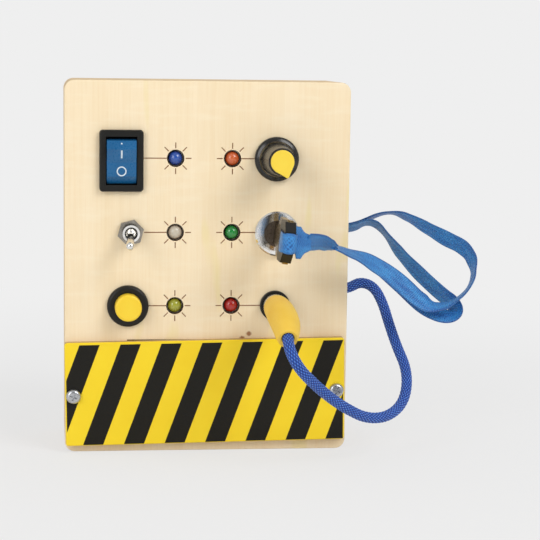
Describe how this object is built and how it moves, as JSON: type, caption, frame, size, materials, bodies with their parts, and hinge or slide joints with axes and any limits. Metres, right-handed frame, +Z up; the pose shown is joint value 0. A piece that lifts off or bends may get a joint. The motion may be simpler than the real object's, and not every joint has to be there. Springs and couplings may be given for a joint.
{
  "type": "wooden busy board",
  "caption": "Small plywood box for a toddler's hands, with switches, a knob, a key lock, a plug on a rope and lamps on its front over a striped battery cover.",
  "frame": {"origin": "middle of the bottom face, halfway through the case's depth", "axes": "+Z up, +X to the right seen from the front, the front faces -Y"},
  "size_m": [0.1467, 0.0847, 0.128],
  "materials": {
    "plywood": "pale birch plywood, sanded and clear-coated",
    "case_wood": "pale solid wood strips, sanded and clear-coated",
    "striped_board": "yellow painted board with black diagonal stripes",
    "screw_steel": "plated steel",
    "black_plastic": "satin black plastic",
    "blue_plastic": "glossy blue plastic",
    "chrome": "polished nickel plate",
    "dark_metal": "dark plated metal",
    "cap_plastic": "glossy plastic",
    "knob_plastic": "glossy black plastic",
    "pointer_plastic": "yellow plastic",
    "key_metal": "olive brass plate",
    "boot_rubber": "soft yellow rubber",
    "plug_white": "white insulating plastic",
    "rope_blue": "braided blue cord",
    "ribbon_blue": "woven blue ribbon",
    "lens_blue": "tinted clear lens",
    "lens_orange": "tinted clear lens",
    "lens_white": "clear lens",
    "lens_green": "tinted clear lens",
    "lens_yellow": "tinted clear lens",
    "lens_red": "tinted clear lens",
    "glue": "hot-melt glue",
    "tinned": "tinned wire and strip",
    "resistor": "resistor body",
    "cell": "plain battery sleeve",
    "wire_red": "red wire insulation",
    "wire_black": "black wire insulation",
    "wire_green": "green wire insulation"
  },
  "bodies": {
    "case": {"back_panel": "plywood", "batteries": "cell", "battery_contacts": "tinned", "battery_cover": "striped_board", "battery_holder": "black_plastic", "bottom_wall": "case_wood", "cover_screws": "screw_steel", "end_knots": "rope_blue", "feed_wires": "wire_red", "front_panel": "plywood", "ground_wires": "wire_black", "jack_barrel": "chrome", "jack_flange": "black_plastic", "jack_insulator": "black_plastic", "jack_nut": "chrome", "led_blue": "lens_blue", "led_glue": "glue", "led_green": "lens_green", "led_leads": "tinned", "led_orange": "lens_orange", "led_red": "lens_red", "led_white": "lens_white", "led_wires": "wire_green", "led_yellow": "lens_yellow", "left_wall": "case_wood", "lock_barrel": "chrome", "lock_nut": "chrome", "pot_body": "black_plastic", "pot_bushing": "chrome", "pot_nut": "chrome", "push_housing": "black_plastic", "push_nut": "black_plastic", "push_spring": "dark_metal", "resistors": "resistor", "ribbon_strand_a": "ribbon_blue", "ribbon_strand_b": "ribbon_blue", "right_wall": "case_wood", "rocker_housing": "black_plastic", "switch_tabs": "tinned", "toggle_body": "blue_plastic", "toggle_bushing": "chrome", "toggle_nut": "chrome", "toggle_washer": "chrome", "top_wall": "case_wood"},
    "rocker": {"rocker_button": "blue_plastic"},
    "toggle": {"toggle_lever": "chrome"},
    "push": {"push_cap": "cap_plastic"},
    "knob": {"knob_body": "knob_plastic", "knob_cap": "pointer_plastic", "pot_shaft": "chrome"},
    "lock_core": {"lock_cylinder": "dark_metal"},
    "key_lead": {"ribbon_lead": "ribbon_blue"},
    "key": {"key_blade": "key_metal", "key_head": "black_plastic", "ribbon_knot": "ribbon_blue"},
    "plug": {"plug_shell": "chrome", "plug_pin": "chrome", "plug_insulator": "plug_white", "plug_boot": "boot_rubber", "rope": "rope_blue"}
  },
  "joints": [
    {"name": "rocker_tilt", "type": "hinge", "parent": "case", "child": "rocker", "pos_m": [-0.0297, -0.0182, 0.1008], "axis": [-1, 0, 0], "range_deg": [0, 18]},
    {"name": "toggle_throw", "type": "hinge", "parent": "case", "child": "toggle", "pos_m": [-0.0265, -0.022, 0.0763], "axis": [-0.9744, 0, 0.225], "range_deg": [0, 32]},
    {"name": "button_press", "type": "slide", "parent": "case", "child": "push", "axis": [0, 1, 0], "range_m": [0, 0.0025], "stiffness_N_per_m": 300, "springref_m": -0.002},
    {"name": "knob_turn", "type": "hinge", "parent": "case", "child": "knob", "pos_m": [0.0234, -0.019, 0.1017], "axis": [0, -1, 0], "range_deg": [0, 300]},
    {"name": "cylinder_turn", "type": "hinge", "parent": "case", "child": "lock_core", "pos_m": [0.0239, -0.019, 0.076], "axis": [0, 1, 0], "range_deg": [0, 90]},
    {"name": "key_pull", "type": "slide", "parent": "case", "child": "key_lead", "axis": [0, -1, 0], "range_m": [0, 0.02]},
    {"name": "key_turn", "type": "hinge", "parent": "key_lead", "child": "key", "pos_m": [0.0239, -0.04, 0.076], "axis": [0, 1, 0], "range_deg": [0, 90]},
    {"name": "plug_pull", "type": "slide", "parent": "case", "child": "plug", "axis": [0, -1, 0], "range_m": [0, 0.02]}
  ],
  "couplings": [
    {"joint": "cylinder_turn", "follows": "key_turn", "ratio": 1}
  ]
}
